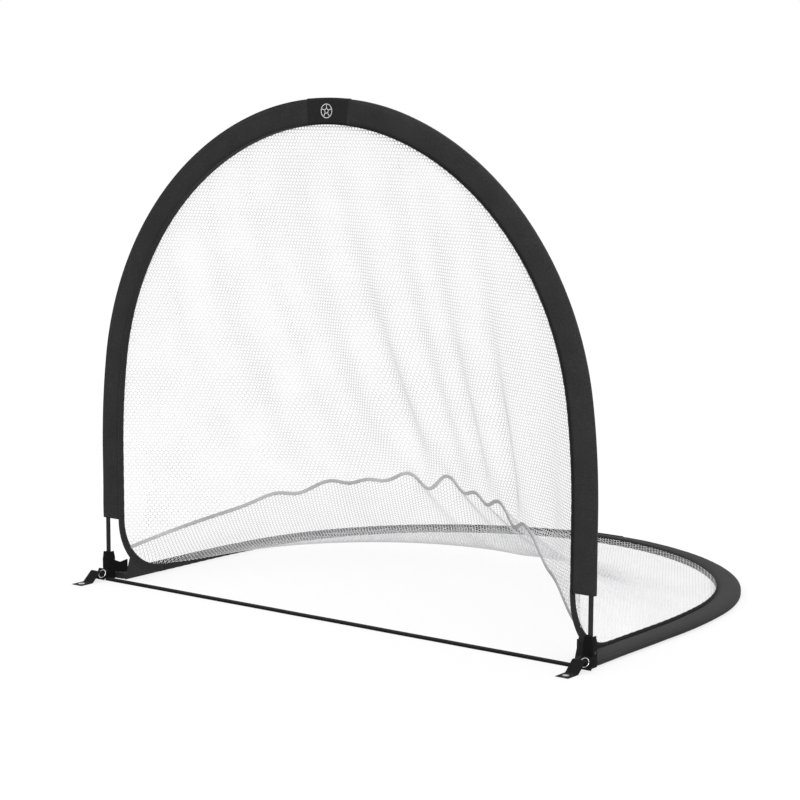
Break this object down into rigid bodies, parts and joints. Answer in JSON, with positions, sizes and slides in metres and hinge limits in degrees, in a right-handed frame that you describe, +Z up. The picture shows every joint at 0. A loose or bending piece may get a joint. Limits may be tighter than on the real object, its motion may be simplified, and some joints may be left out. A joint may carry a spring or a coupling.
{
  "type": "pop up goal",
  "caption": "Folding sports goal with a padded front arch hinged to a padded ground arch, a loose net between them and peg tabs at the front corners.",
  "frame": {"origin": "on the ground at the middle of the goal-line strap", "axes": "+X to the right seen from the front, +Y into the goal, +Z up"},
  "size_m": [2.47, 2.2184, 2.015],
  "materials": {
    "sleeve_fabric": "charcoal woven polyester",
    "webbing": "black polyester webbing",
    "boot_webbing": "black stiff webbing",
    "patch_fabric": "smooth black fabric",
    "net": "white polyester string net",
    "seam_tape": "grey woven tape",
    "pole": "black glass-fibre tube",
    "fitting": "black moulded plastic",
    "rivet_steel": "plated steel",
    "ring_steel": "plated steel wire"
  },
  "bodies": {
    "ground_frame": {"ground_pole_crown": "pole", "ground_pole_ferrules": "fitting", "ground_pole_upper_shoulder_left": "pole", "ground_pole_upper_shoulder_right": "pole", "ground_pole_lower_shoulder_left": "pole", "ground_pole_lower_shoulder_right": "pole", "ground_pole_leg_left": "pole", "ground_pole_leg_right": "pole", "ground_sleeve_left": "sleeve_fabric", "ground_sleeve_right": "sleeve_fabric", "ground_binding": "webbing", "ground_label_patch": "patch_fabric", "corner_binding_left": "webbing", "corner_gusset_left": "sleeve_fabric", "corner_boot_left": "boot_webbing", "hinge_rivet_left": "rivet_steel", "ground_pole_plug_left": "fitting", "corner_patch_left": "webbing", "steel_ring_left": "ring_steel", "corner_binding_right": "webbing", "corner_gusset_right": "sleeve_fabric", "corner_boot_right": "boot_webbing", "hinge_rivet_right": "rivet_steel", "ground_pole_plug_right": "fitting", "corner_patch_right": "webbing", "steel_ring_right": "ring_steel", "goal_line_strap": "webbing", "upper_net": "net", "lower_net": "net", "seam_tape": "seam_tape"},
    "front_frame": {"front_pole_crown": "pole", "front_pole_ferrules": "fitting", "front_pole_upper_shoulder_left": "pole", "front_pole_upper_shoulder_right": "pole", "front_pole_lower_shoulder_left": "pole", "front_pole_lower_shoulder_right": "pole", "front_pole_leg_left": "pole", "front_pole_leg_right": "pole", "front_sleeve_left": "sleeve_fabric", "front_sleeve_right": "sleeve_fabric", "front_binding": "webbing", "front_label_patch": "patch_fabric", "front_pole_foot_left": "fitting", "front_pole_foot_right": "fitting"},
    "left_peg_tab": {"peg_tab_left": "webbing", "peg_eyelet_left": "ring_steel"},
    "right_peg_tab": {"peg_tab_right": "webbing", "peg_eyelet_right": "ring_steel"}
  },
  "joints": [
    {"name": "front_arch_fold", "type": "hinge", "parent": "ground_frame", "child": "front_frame", "pos_m": [0, 0.03, 0.056], "axis": [-1, 0, 0], "range_deg": [0, 90], "deforming": ["upper_net", "lower_net", "seam_tape", "corner_binding_left", "corner_binding_right", "corner_gusset_left", "corner_gusset_right"]},
    {"name": "left_peg_tab_lift", "type": "hinge", "parent": "ground_frame", "child": "left_peg_tab", "pos_m": [-1.201, -0.00845, 0.02476], "axis": [-1, 0, 0], "range_deg": [0, 60]},
    {"name": "right_peg_tab_lift", "type": "hinge", "parent": "ground_frame", "child": "right_peg_tab", "pos_m": [1.201, -0.00845, 0.02476], "axis": [-1, 0, 0], "range_deg": [0, 60]}
  ]
}
